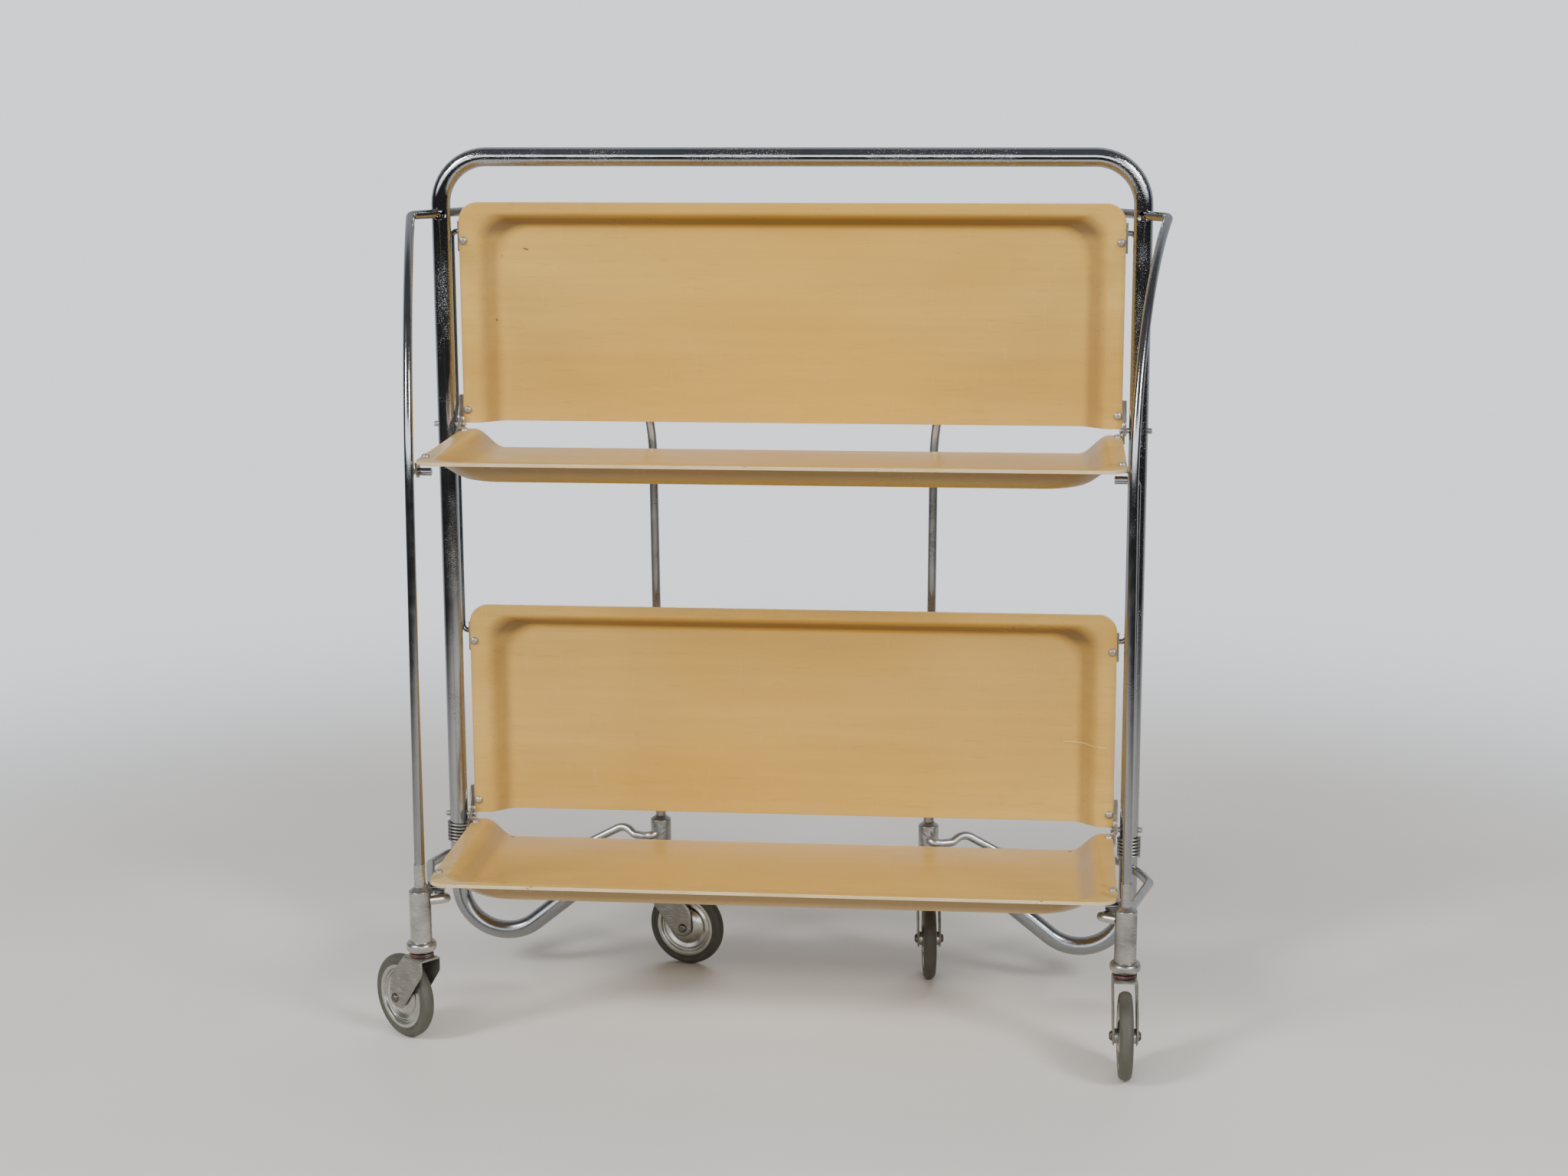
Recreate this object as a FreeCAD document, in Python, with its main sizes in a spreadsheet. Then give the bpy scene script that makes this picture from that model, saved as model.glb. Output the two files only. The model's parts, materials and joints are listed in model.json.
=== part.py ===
"""A folding tea trolley: one hoop of bent tube, four drop-leaf trays and four gate legs on castors.

Lengths are millimetres and angles degrees. The hoop stands upright across the width (X), the
front is -Y and the floor is z = 0. The front trays are down on their open gates; the rear trays
are folded up and the closed rear gates hold them. The origin is the middle of the footprint.

Three local frames are used. A tray's frame has its origin on the hinge axis, x along the tray,
y outwards from the hinge and z up when the tray is down. A gate's frame has its origin at the
foot of the gate's pivot axis, x towards the leg and z up. A castor's frame has its origin on
the floor below the swivel axis and x along the trail.
"""

import FreeCAD, Part
import math
import os
import re
import Sketcher

Vector = FreeCAD.Vector
Rotation = FreeCAD.Rotation
X_AXIS, Z_AXIS = Vector(1, 0, 0), Vector(0, 0, 1)

doc = FreeCAD.newDocument("tea_trolley")

# ---------------------------------------------------------------- driving dimensions

SIZES = {
    # hoop
    "hoop_width": 625,  # between the centres of the uprights
    "hoop_above_tray": 40.4,  # centre of the top bar above the folded tray's edge
    "tube_diameter": 17,
    "tube_wall": 1.5,
    "hoop_bend_radius": 42,
    "foot_height": 39,  # lowest centre of the inward foot bends
    "foot_bend_radius": 43.5,
    "foot_angle": 39,  # slope of the tube behind each foot
    "stretcher_height": 100,
    "stretcher_bend_radius": 60,
    "hoop_offset_x": 9.9,  # hoop's middle from the middle of the footprint
    "hoop_offset_y": 101.6,
    # hinges
    "lower_hinge_height": 152.4,
    "shelf_rise": 369.2,  # upper hinge above the lower one
    "hinge_pin_diameter": 5,
    "hinge_head_diameter": 7,
    "hinge_head_length": 2,
    "pin_proud": 3.5,  # pin beyond the outside of the upright
    "running_clearance": 0.05,
    "fixed_clearance": 0.02,
    # trays
    "tray_end_gap": 6,  # between a tray's end and the upright
    "tray_reach": 200,  # outer edge from the hinge axis
    "tray_back_gap": 0.5,  # inner edge from the hinge axis
    "rim_drop": 4,  # top of the rim below the hinge axis
    "ply_thickness": 3.1,
    "tray_depth": 16.7,
    "lip_width": 8,  # along the outer edge
    "end_lip_width": 11,
    "end_slope_run": 27.5,
    "outer_slope_run": 17,
    "tray_corner_radius": 17,
    "panel_corner_radius": 34,
    # plates and rivets
    "plate_thickness": 1.5,
    "plate_gap": 0.4,  # between neighbouring plates and the tray's end
    "flange_overlap": 7.8,  # flange under the lip
    "rivet_inset": 4,  # rivet's axis from the tray's end
    "rivet_diameter": 3,
    "rivet_head_diameter": 7.5,
    "rivet_head_height": 2.4,
    "rivet_tail_diameter": 5,
    "rivet_tail_height": 1.2,
    "inner_rivet_reach": 12.5,
    "rivet_before_stud": 7.5,
    "hinge_eye_radius": 5,
    "hinge_plate_reach": 26,
    "bracket_before_stud": 17.2,
    "bracket_after_stud": 9.8,
    "bracket_shoulder": 2.4,  # depth of the bracket beside its rounded tab
    "bracket_tab_radius": 5,
    # link rods
    "link_diameter": 5,
    "link_stand_off": 9,  # link rod's axis outside the tray's end
    "link_bend_radius": 5,
    "link_end_inset": 10.3,  # rod's end inside the tray's end
    "stud_diameter": 6.8,  # thick inner end of the rod
    "stud_play": 0.3,  # between the stud and the bracket
    "stud_inset": 26.8,  # stud's axis from the tray's outer edge
    "stud_drop": 16,
    # gates
    "hook_gap": 0.3,  # between a gate's hook and the inside of the upright
    "leg_beyond_dip": 20.16,  # leg's axis beyond the stud that rests on the arm
    "gate_open_toe": 2.3,  # open gate, inwards of square
    "gate_closed_angle": 11,  # closed gate, off the hoop's plane
    "rod_diameter": 8,
    "neck_diameter": 4.4,
    "neck_bend_radius": 2.8,
    "hook_length": 14,
    "neck_stand": 5.8,  # start of the taper from the pivot axis
    "taper_length": 1.2,
    "gate_top_above_stud": 17.2,  # top of the gates above the folded tray's stud
    "top_bend_along": 25.5,
    "top_bend_out": 21.6,
    "top_bend_radius": 9,
    "shoulder_slope": 20,
    "shoulder_radius": 239.5,
    "leg_lean_along": 3.9,  # top of the straight leg, towards the pivot
    "leg_lean_in": 3.1,  # and inwards
    "slot_width": 11.6,
    "slot_height": 7.8,
    "slot_head_room": 0.3,
    # gate arms
    "arm_drop": 35.4,  # arms' slots below the lower hinge
    "arm_neck_along": 11.2,
    "arm_corner_along": 41,
    "arm_corner_out": 19.5,
    "arm_rise_before_hump": 33,
    "arm_rise_out": 3,
    "arm_climb": 1,  # from the corner to the start of the hump
    "hump_before_dip": 14.5,
    "hump_in": 4,
    "hump_rise": 7.4,
    "dip_before_stud": 5.5,
    "dip_in": 12,
    "dip_after_stud": 4,
    "loop_after_dip": 12.5,
    "loop_in": 24,
    "loop_rise": 2.4,
    "seat_gap": 0.4,
    # springs
    "spring_wire": 2.2,
    "spring_pitch": 3.15,
    "spring_turns": 6,
    "spring_gap": 0.6,  # below the lower hinge plates
    "spring_clearance": 0.3,
    # castors
    "wheel_diameter": 75,
    "tyre_width": 13,
    "tyre_thickness": 9,
    "tread_radius": 4.5,
    "wheel_rim_width": 11,
    "wheel_bead": 3,  # rounded edge of the rim
    "wheel_web_width": 5,  # at the bottom of the groove inside the rim
    "wheel_groove_radius": 24,
    "wheel_ring_radius": 21,  # raised ring between the groove and the dome
    "wheel_ring_width": 8,
    "wheel_dome_radius": 17.5,
    "wheel_dome_width": 13,  # at the hub
    "hub_diameter": 13,
    "hub_width": 18.2,
    "axle_diameter": 6,
    "axle_head_diameter": 8.6,
    "axle_head_height": 2.6,
    "castor_trail": 26.5,
    "hub_gap": 0.3,  # between the hub and each cheek of the fork
    "fork_sheet": 1.6,
    "fork_bend_radius": 3,
    "crown_reach": 13,
    "cheek_radius": 9,
    "crown_gap": 4,  # between the wheel's top and the crown
    "washer_thickness": 3.7,
    "washer_diameter": 21,
    "swivel_gap": 0.3,
    "stem_diameter": 8,
    "stem_length": 33,
    "stem_head_diameter": 13,
    "stem_head_height": 2,
    "socket_diameter": 19,
    "socket_drop": 12.4,  # top of the barrel below the lower hinge
    "socket_plug": 4,
    "socket_chamfer": 0.8,
    "socket_shoulder": 3,  # height of the cone between the barrel and the collar
    "ring_diameter": 26.5,
    "ring_height": 10,
    "collar_wall": 0.8,
    "collar_length": 24,
    "swivel_angle_front_left": 140,
    "swivel_angle_front_right": -89,
    "swivel_angle_rear_left": -18,
    "swivel_angle_rear_right": -85,
}

sheet = doc.addObject("Spreadsheet::Sheet", "Sizes")
for row, (alias, number) in enumerate(SIZES.items(), start=1):
    sheet.set(f"A{row}", alias)
    sheet.set(f"B{row}", str(number))
    sheet.setAlias(f"B{row}", alias)
doc.recompute()

ALIASES = re.compile(r"\b(" + "|".join(SIZES) + r")\b")


def bound(formula):
    """The formula as an object's expression, with each size taken from the sheet."""
    return ALIASES.sub(r"Sizes.\1", formula)


def value(formula):
    """The formula's value as a plain number."""
    result = sheet.evalExpression(formula)
    return float(getattr(result, "Value", result))


# ---------------------------------------------------------------- derived sizes, as formulas

UPRIGHT_X = "hoop_width / 2"
HINGE_HEIGHT = {"upper": "(lower_hinge_height + shelf_rise)", "lower": "lower_hinge_height"}
STUD_REACH = "(tray_reach - stud_inset)"
OUTER_RIVET_REACH = f"({STUD_REACH} - rivet_before_stud)"
HOOP_HEIGHT = f"({HINGE_HEIGHT['upper']} + tray_reach + hoop_above_tray)"
GATE_TOP = f"({HINGE_HEIGHT['upper']} + {STUD_REACH} + gate_top_above_stud)"
ARM_HEIGHT = "(lower_hinge_height - arm_drop)"
SPRING_TOP = "(lower_hinge_height - hinge_eye_radius - spring_gap - spring_wire / 2)"
TRAY_HALF = "(hoop_width / 2 - tube_diameter / 2 - tray_end_gap)"
RIM_BOTTOM = "(-rim_drop - ply_thickness)"
FLANGE_BOTTOM = "(-rim_drop - ply_thickness - plate_thickness)"
FOOT_CORNER = (
    "(foot_height + foot_bend_radius - foot_bend_radius * tan((90 + foot_angle) / 2 * 1deg))"
)
LINK_X = f"({TRAY_HALF} + link_stand_off)"
LINK_END_X = f"({TRAY_HALF} - link_end_inset)"
FORK_WIDTH = "(hub_width + 2 * hub_gap + 2 * fork_sheet)"
CROWN_TOP = "(wheel_diameter + crown_gap + fork_sheet)"
SOCKET_FOOT = f"({CROWN_TOP} + washer_thickness + swivel_gap)"
STEM_BORE_TOP = f"({CROWN_TOP} + stem_length + swivel_gap)"
LEG_FOOT = f"({STEM_BORE_TOP} + socket_plug)"
SOCKET_TOP = "(lower_hinge_height - socket_drop)"
COLLAR_TOP = f"({SOCKET_TOP} + collar_length)"
DIP_HEIGHT = "(lower_hinge_height - stud_drop - stud_diameter / 2 - seat_gap - rod_diameter / 2)"
PIVOT_OFFSET = "(tube_diameter / 2 - tube_wall - hook_gap - neck_diameter / 2)"
DIP_ALONG = f"(({STUD_REACH} - {PIVOT_OFFSET}) / cos(gate_open_toe * 1deg))"
GATE_REACH = f"({DIP_ALONG} + leg_beyond_dip)"


# ---------------------------------------------------------------- building helpers

sub_parts = []


def keep(part, label):
    """Register a finished sub-part under its label."""
    part.Label = label
    sub_parts.append(part)
    return part


def place(part, x="0", y="0", z="0", rotation=None):
    """Place a sub-part, with its origin given from the hoop's middle on the floor."""
    formulas = [f"hoop_offset_x + {x}", f"hoop_offset_y + {y}", z]
    base = Vector(*[value(formula) for formula in formulas])
    part.Placement = FreeCAD.Placement(base, rotation or Rotation())
    for axis, formula in zip("xyz", formulas):
        part.setExpression(f"Placement.Base.{axis}", bound(formula))


def new_body(label):
    return keep(doc.addObject("PartDesign::Body", label), label)


def origin_plane(body, role):
    return next(item for item in body.Origin.OriginFeatures if item.Role == role)


def new_sketch(body, name, role, offset="0"):
    """A sketch on one of the body's origin planes, moved along the plane's normal."""
    sketch = body.newObject("Sketcher::SketchObject", name)
    sketch.AttachmentSupport = [(origin_plane(body, role), "")]
    sketch.MapMode = "FlatFace"
    sketch.AttachmentOffset.Base.z = value(offset)
    sketch.setExpression("AttachmentOffset.Base.z", bound(offset))
    return sketch


def bind_point(sketch, geometry, point, x, y):
    """Hold a point at x, y from the sketch's origin."""
    for kind, formula, axis in (("DistanceX", x, -2), ("DistanceY", y, -1)):
        if formula == "0":
            sketch.addConstraint(Sketcher.Constraint("PointOnObject", geometry, point, axis))
            continue
        index = sketch.addConstraint(
            Sketcher.Constraint(kind, -1, 1, geometry, point, value(formula))
        )
        sketch.setExpression(f"Constraints[{index}]", bound(formula))


def draw_circle(sketch, x, y, diameter):
    centre = Vector(value(x), value(y), 0)
    circle = sketch.addGeometry(Part.Circle(centre, Z_AXIS, value(diameter) / 2))
    bind_point(sketch, circle, 3, x, y)
    index = sketch.addConstraint(Sketcher.Constraint("Diameter", circle, value(diameter)))
    sketch.setExpression(f"Constraints[{index}]", bound(diameter))


def round_corner(before, corner, after, radius):
    """Start, middle and end of the arc that rounds a corner."""
    arrive, leave = (corner - before).normalize(), (after - corner).normalize()
    half_turn = arrive.getAngle(leave) / 2
    reach = radius * math.tan(half_turn)
    inwards = (leave - arrive).normalize()
    middle = corner + inwards * (radius / math.cos(half_turn) - radius)
    return corner - arrive * reach, middle, corner + leave * reach


def draw_outline(sketch, corners, closed=True):
    """Straight runs between corners (x, y, radius), with a tangent arc where radius isn't None."""
    count = len(corners)
    points = [Vector(value(x), value(y), 0) for x, y, _ in corners]
    arcs = {}
    for i, (_, _, radius) in enumerate(corners):
        if radius is not None:
            around = points[i - 1], points[i], points[(i + 1) % count]
            arcs[i] = round_corner(*around, value(radius))
    lines = []
    for i in range(count if closed else count - 1):
        j = (i + 1) % count
        start = arcs[i][2] if i in arcs else points[i]
        end = arcs[j][0] if j in arcs else points[j]
        lines.append(sketch.addGeometry(Part.LineSegment(start, end)))
    for i, (x, y, radius) in enumerate(corners):
        arriving = lines[i - 1] if closed or i > 0 else None
        leaving = lines[i] if closed or i < count - 1 else None
        if radius is None:
            if arriving is not None and leaving is not None:
                sketch.addConstraint(Sketcher.Constraint("Coincident", arriving, 2, leaving, 1))
            if leaving is not None:
                bind_point(sketch, leaving, 1, x, y)
            else:
                bind_point(sketch, arriving, 2, x, y)
            continue
        arc = sketch.addGeometry(Part.Arc(*arcs[i]))
        forwards = sketch.getPoint(arc, 1).isEqual(arcs[i][0], 1e-6)
        first, last = (1, 2) if forwards else (2, 1)
        sketch.addConstraint(Sketcher.Constraint("Tangent", arriving, 2, arc, first))
        sketch.addConstraint(Sketcher.Constraint("Tangent", arc, last, leaving, 1))
        index = sketch.addConstraint(Sketcher.Constraint("Radius", arc, value(radius)))
        sketch.setExpression(f"Constraints[{index}]", bound(radius))
        corner = sketch.addGeometry(Part.Point(points[i]), True)
        sketch.addConstraint(Sketcher.Constraint("PointOnObject", corner, 1, arriving))
        sketch.addConstraint(Sketcher.Constraint("PointOnObject", corner, 1, leaving))
        bind_point(sketch, corner, 1, x, y)


def pad(body, sketch, length, both_ways=False, reverse=False):
    feature = body.newObject("PartDesign::Pad", sketch.Name + "_pad")
    feature.Profile = sketch
    feature.setExpression("Length", bound(length))
    feature.Midplane = both_ways
    feature.Reversed = reverse
    return feature


def pocket(body, sketch, length, both_ways=True, reverse=False):
    feature = body.newObject("PartDesign::Pocket", sketch.Name + "_pocket")
    feature.Profile = sketch
    feature.setExpression("Length", bound(length))
    feature.Midplane = both_ways
    feature.Reversed = reverse
    return feature


def revolve(body, sketch):
    """Turn a sketch round its own vertical axis."""
    feature = body.newObject("PartDesign::Revolution", sketch.Name + "_turned")
    feature.Profile = sketch
    feature.ReferenceAxis = (sketch, ["V_Axis"])
    feature.Angle = 360
    return feature


def mirror(body, *features):
    """Repeat features on the other side of the body's YZ plane."""
    feature = body.newObject("PartDesign::Mirrored", body.Name + "_mirrored")
    feature.Originals = list(features)
    feature.MirrorPlane = (origin_plane(body, "YZ_Plane"), [""])
    body.Tip = feature
    return feature


def fillet(body, base, radius, chosen):
    """Round the edges of a feature that the chosen() test picks."""
    doc.recompute()
    names = [f"Edge{i}" for i, edge in enumerate(base.Shape.Edges, start=1) if chosen(edge)]
    feature = body.newObject("PartDesign::Fillet", base.Name + "_rounded")
    feature.Base = (base, names)
    feature.setExpression("Radius", bound(radius))
    return feature


# ---------------------------------------------------------------- hoop


def build_hoop():
    body = new_body("frame_tube")
    centreline = new_sketch(body, "hoop_centreline", "XZ_Plane")
    stretcher_corner = f"{UPRIGHT_X} - (stretcher_height - {FOOT_CORNER}) / tan(foot_angle * 1deg)"
    draw_outline(
        centreline,
        [
            ("0", HOOP_HEIGHT, None),
            (UPRIGHT_X, HOOP_HEIGHT, "hoop_bend_radius"),
            (UPRIGHT_X, FOOT_CORNER, "foot_bend_radius"),
            (stretcher_corner, "stretcher_height", "stretcher_bend_radius"),
            ("0", "stretcher_height", None),
        ],
        closed=False,
    )
    section = new_sketch(body, "tube_section", "YZ_Plane")
    draw_circle(section, "0", HOOP_HEIGHT, "tube_diameter")
    draw_circle(section, "0", HOOP_HEIGHT, "tube_diameter - 2 * tube_wall")
    half = body.newObject("PartDesign::AdditivePipe", "half_hoop")
    half.Profile = section
    half.Spine = centreline
    mirror(body, half)
    pin_holes = new_sketch(body, "hinge_pin_holes", "YZ_Plane")
    for height in HINGE_HEIGHT.values():
        draw_circle(pin_holes, "0", height, "hinge_pin_diameter + 2 * fixed_clearance")
    pocket(body, pin_holes, "hoop_width + 2 * tube_diameter")
    slots = new_sketch(body, "gate_slots", "XZ_Plane")
    for side in ("-", ""):
        for height in (GATE_TOP, ARM_HEIGHT):
            top = f"{height} + neck_diameter / 2 + slot_head_room"
            middle = f"{side}{UPRIGHT_X}"
            left, right = f"{middle} - slot_width / 2", f"{middle} + slot_width / 2"
            radius = "slot_height / 2 - fixed_clearance"
            draw_outline(
                slots,
                [
                    (left, top, radius),
                    (right, top, radius),
                    (right, f"{top} - slot_height", radius),
                    (left, f"{top} - slot_height", radius),
                ],
            )
    pocket(body, slots, "2 * tube_diameter")
    place(body)


def build_turned_piece(name, corners, role="XZ_Plane", label=None):
    """A body turned from one closed outline; kept as a sub-part when it has a label."""
    body = new_body(label) if label else doc.addObject("PartDesign::Body", name)
    sketch = new_sketch(body, name + "_outline", role)
    draw_outline(sketch, corners)
    revolve(body, sketch)
    return body


def build_hinge_pins():
    """Four pins through the uprights; z runs outwards along each pin."""
    inner = "tube_diameter / 2 + tray_end_gap + hinge_head_length + plate_gap"
    outer = "tube_diameter / 2 + pin_proud"
    radius, head = "hinge_pin_diameter / 2", "hinge_head_diameter / 2"
    pins = []
    for side, place_name in ((-1, "left"), (1, "right")):
        for level in ("upper", "lower"):
            corners = [
                ("0", f"-({inner})", None),
                (head, f"-({inner})", "hinge_head_length / 2"),
                (head, f"-({inner}) + hinge_head_length", None),
                (radius, f"-({inner}) + hinge_head_length", None),
                (radius, outer, "hinge_pin_diameter / 5"),
                ("0", outer, None),
            ]
            pin = build_turned_piece(f"{level}_{place_name}_pin", corners)
            outwards = Rotation(Vector(0, 1, 0), 90 * side)
            place(pin, f"{side} * {UPRIGHT_X}", "0", HINGE_HEIGHT[level], outwards)
            pins.append(pin)
    compound = doc.addObject("Part::Compound", "hinge_pins")
    compound.Links = pins
    keep(compound, "hinge_pins")


def build_spring(side, label):
    body = new_body(label)
    wire = new_sketch(body, label + "_wire", "XZ_Plane")
    radius = "tube_diameter / 2 + spring_clearance + spring_wire / 2"
    draw_circle(wire, radius, f"{SPRING_TOP} - spring_turns * spring_pitch", "spring_wire")
    coil = body.newObject("PartDesign::AdditiveHelix", label + "_coil")
    coil.Profile = wire
    coil.ReferenceAxis = (wire, ["V_Axis"])
    coil.Mode = "pitch-turns-angle"
    coil.setExpression("Pitch", bound("spring_pitch"))
    coil.setExpression("Turns", bound("spring_turns"))
    coil.LeftHanded = side < 0
    place(body, f"{side} * {UPRIGHT_X}")


# ---------------------------------------------------------------- trays

# The S-shaped walls of a tray: share of the run and share of the depth at each loft section.
WALL_STEPS = [(t / 4, (1 - math.cos(math.pi * t / 4)) / 2) for t in range(5)]

# Growth of the pan halfway down its walls, in ply thicknesses, that keeps them full thickness.
PAN_BULGE = 0.4


def tray_section(body, name, share, height, end_growth, back):
    """One level of the recess: a rounded outline open towards the hinge at back."""
    sketch = new_sketch(body, name, "XY_Plane", height)
    half = f"{TRAY_HALF} - end_lip_width - {share:.4f} * end_slope_run + {end_growth}"
    outer = f"tray_reach - lip_width - {share:.4f} * outer_slope_run + {end_growth}"
    mid_radius = f"tray_corner_radius + {share:.4f} * (panel_corner_radius - tray_corner_radius)"
    draw_outline(
        sketch,
        [
            (f"-({half})", back, None),
            (half, back, None),
            (half, outer, mid_radius),
            (f"-({half})", outer, mid_radius),
        ],
    )
    return sketch


def build_tray(label):
    body = new_body(label)
    rim = new_sketch(body, label + "_rim", "XY_Plane", RIM_BOTTOM)
    draw_outline(
        rim,
        [
            (f"-{TRAY_HALF}", "tray_back_gap", None),
            (TRAY_HALF, "tray_back_gap", None),
            (TRAY_HALF, "tray_reach", "tray_corner_radius"),
            (f"-{TRAY_HALF}", "tray_reach", "tray_corner_radius"),
        ],
    )
    pad(body, rim, "ply_thickness")
    pan_sections, recess_sections = [], []
    for i, (run, drop) in enumerate(WALL_STEPS):
        lap = PAN_BULGE * math.sin(math.pi * run)
        depth = f"-rim_drop - {drop:.4f} * tray_depth"
        pan_sections.append(
            tray_section(
                body,
                f"{label}_pan_{i}",
                run,
                f"{depth} - ply_thickness",
                f"{lap:.4f} * ply_thickness",
                "tray_back_gap",
            )
        )
        recess_sections.append(
            tray_section(body, f"{label}_recess_{i}", run, depth, "0", "0")
        )
    pan = body.newObject("PartDesign::AdditiveLoft", label + "_pan")
    pan.Profile = pan_sections[0]
    pan.Sections = pan_sections[1:]
    recess = body.newObject("PartDesign::SubtractiveLoft", label + "_recess")
    recess.Profile = recess_sections[0]
    recess.Sections = recess_sections[1:]
    holes = new_sketch(body, label + "_rivet_holes", "XY_Plane")
    for side in ("-", ""):
        for reach in ("inner_rivet_reach", OUTER_RIVET_REACH):
            x = f"{side}({TRAY_HALF} - rivet_inset)"
            draw_circle(holes, x, reach, "rivet_diameter + 2 * fixed_clearance")
    pocket(body, holes, "2 * (rim_drop + ply_thickness) + ply_thickness")
    return body


def build_plate(label, stack, outline, hole, flange_start, flange_end, rivet_reach):
    """A pair of bent plates: an upright plate beyond the tray's end and a flange under its lip."""
    body = new_body(label)
    inner_face = f"({TRAY_HALF} + plate_gap + {stack} * (plate_thickness + plate_gap))"
    side = new_sketch(body, label + "_side", "YZ_Plane", inner_face)
    draw_outline(side, outline)
    draw_circle(side, *hole)
    upright = pad(body, side, "plate_thickness")
    flange = new_sketch(body, label + "_flange", "XY_Plane", FLANGE_BOTTOM)
    inside = f"{TRAY_HALF} - flange_overlap"
    draw_outline(
        flange,
        [
            (inside, flange_start, None),
            (f"{inner_face} + plate_thickness / 2", flange_start, None),
            (f"{inner_face} + plate_thickness / 2", flange_end, None),
            (inside, flange_end, None),
        ],
    )
    rivet = f"{TRAY_HALF} - rivet_inset", rivet_reach
    draw_circle(flange, *rivet, "rivet_diameter + 2 * fixed_clearance")
    shelf = pad(body, flange, "plate_thickness")
    mirror(body, upright, shelf)
    return body


def build_hinge_plates(label, stack):
    eye = "hinge_eye_radius"
    corners = [
        (f"-{eye}", FLANGE_BOTTOM, "hinge_eye_radius / 2"),
        ("hinge_plate_reach", FLANGE_BOTTOM, None),
        ("hinge_plate_reach", f"{FLANGE_BOTTOM} + 2 * plate_thickness", None),
        (f"{eye} + hinge_eye_radius / 2", eye, "hinge_eye_radius"),
        (f"-{eye}", eye, "hinge_eye_radius - fixed_clearance"),
    ]
    hole = "0", "0", "hinge_pin_diameter + 2 * running_clearance"
    return build_plate(
        label, stack, corners, hole, "hinge_eye_radius + plate_gap", "hinge_plate_reach",
        "inner_rivet_reach",
    )


def build_outer_brackets(label):
    start, end = f"({STUD_REACH} - bracket_before_stud)", f"({STUD_REACH} + bracket_after_stud)"
    shoulder = f"{RIM_BOTTOM} - bracket_shoulder"
    foot = "-(stud_drop + bracket_tab_radius)"
    round_end = "bracket_tab_radius - fixed_clearance"
    corners = [
        (start, RIM_BOTTOM, None),
        (start, shoulder, None),
        (f"{STUD_REACH} - bracket_tab_radius", shoulder, "plate_thickness"),
        (f"{STUD_REACH} - bracket_tab_radius", foot, round_end),
        (f"{STUD_REACH} + bracket_tab_radius", foot, round_end),
        (end, shoulder, "plate_thickness"),
        (end, RIM_BOTTOM, None),
    ]
    hole = STUD_REACH, "-stud_drop", "link_diameter + 2 * running_clearance"
    return build_plate(label, 0, corners, hole, start, end, OUTER_RIVET_REACH)


def build_rivets(label, name_stem, tray_height, rotation):
    """Four domed rivets through a tray's lips and the plates under them."""
    shank, head, tail = "rivet_diameter / 2", "rivet_head_diameter / 2", "rivet_tail_diameter / 2"
    tail_end = f"{FLANGE_BOTTOM} - rivet_tail_height"
    corners = [
        ("0", tail_end, None),
        (tail, tail_end, "rivet_tail_height / 2"),
        (tail, FLANGE_BOTTOM, None),
        (shank, FLANGE_BOTTOM, None),
        (shank, "-rim_drop", None),
        (head, "-rim_drop", None),
        (head, "-rim_drop + rivet_head_height", "rivet_head_height - 2 * fixed_clearance"),
        ("0", "-rim_drop + rivet_head_height", None),
    ]
    rivets = []
    for side in (-1, 1):
        for reach in ("inner_rivet_reach", OUTER_RIVET_REACH):
            index = len(rivets) + 1
            rivet = build_turned_piece(f"{name_stem}_rivet_{index}", corners)
            x = f"{side} * ({TRAY_HALF} - rivet_inset)"
            spot = rotation.multVec(Vector(0, 1, 0))
            y = f"{round(spot.y)} * {reach}"
            z = f"{tray_height} + {round(spot.z)} * {reach}"
            place(rivet, x, y, z, rotation)
            rivets.append(rivet)
    compound = doc.addObject("Part::Compound", label)
    compound.Links = rivets
    keep(compound, label)


def build_shelf_side(name, rotation, stack):
    """The upper and lower tray of one side, front or rear, with their plates and rivets."""
    for level in ("upper", "lower"):
        stem = f"{name}_{level}"
        height = HINGE_HEIGHT[level]
        place(build_tray(f"{stem}_tray"), z=height, rotation=rotation)
        place(build_hinge_plates(f"{stem}_hinge_plates", stack), z=height, rotation=rotation)
        place(build_outer_brackets(f"{stem}_outer_brackets"), z=height, rotation=rotation)
        build_rivets(f"{stem}_rivets", stem, height, rotation)


def build_link(label, side, y, z):
    """A link rod from the upper tray's bracket to the lower tray's; its origin is the upper stud."""
    body = new_body(label)
    drop = "-shelf_rise"
    rod_x, end_x = f"{side} * {LINK_X}", f"{side} * {LINK_END_X}"
    path = new_sketch(body, label + "_path", "XZ_Plane")
    draw_outline(
        path,
        [
            (end_x, "0", None),
            (rod_x, "0", "link_bend_radius"),
            (rod_x, drop, "link_bend_radius"),
            (end_x, drop, None),
        ],
        closed=False,
    )
    section = new_sketch(body, label + "_section", "YZ_Plane", end_x)
    draw_circle(section, "0", "0", "link_diameter")
    rod = body.newObject("PartDesign::AdditivePipe", label + "_rod")
    rod.Profile = section
    rod.Spine = path
    studs = new_sketch(body, label + "_studs", "YZ_Plane", end_x)
    for height in ("0", drop):
        draw_circle(studs, "0", height, "stud_diameter")
    pad(body, studs, "link_end_inset + plate_gap - stud_play", reverse=side < 0)
    place(body, y=y, z=z)


# ---------------------------------------------------------------- gates


def rounded_wire(points, radii):
    """A wire of straight runs joined by tangent arcs."""
    edges, start = [], points[0]
    for before, corner, after, radius in zip(points, points[1:], points[2:], radii):
        first, middle, last = round_corner(before, corner, after, radius)
        edges.append(Part.LineSegment(start, first).toShape())
        edges.append(Part.Arc(first, middle, last).toShape())
        start = last
    edges.append(Part.LineSegment(start, points[-1]).toShape())
    return Part.Wire(edges)


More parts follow.
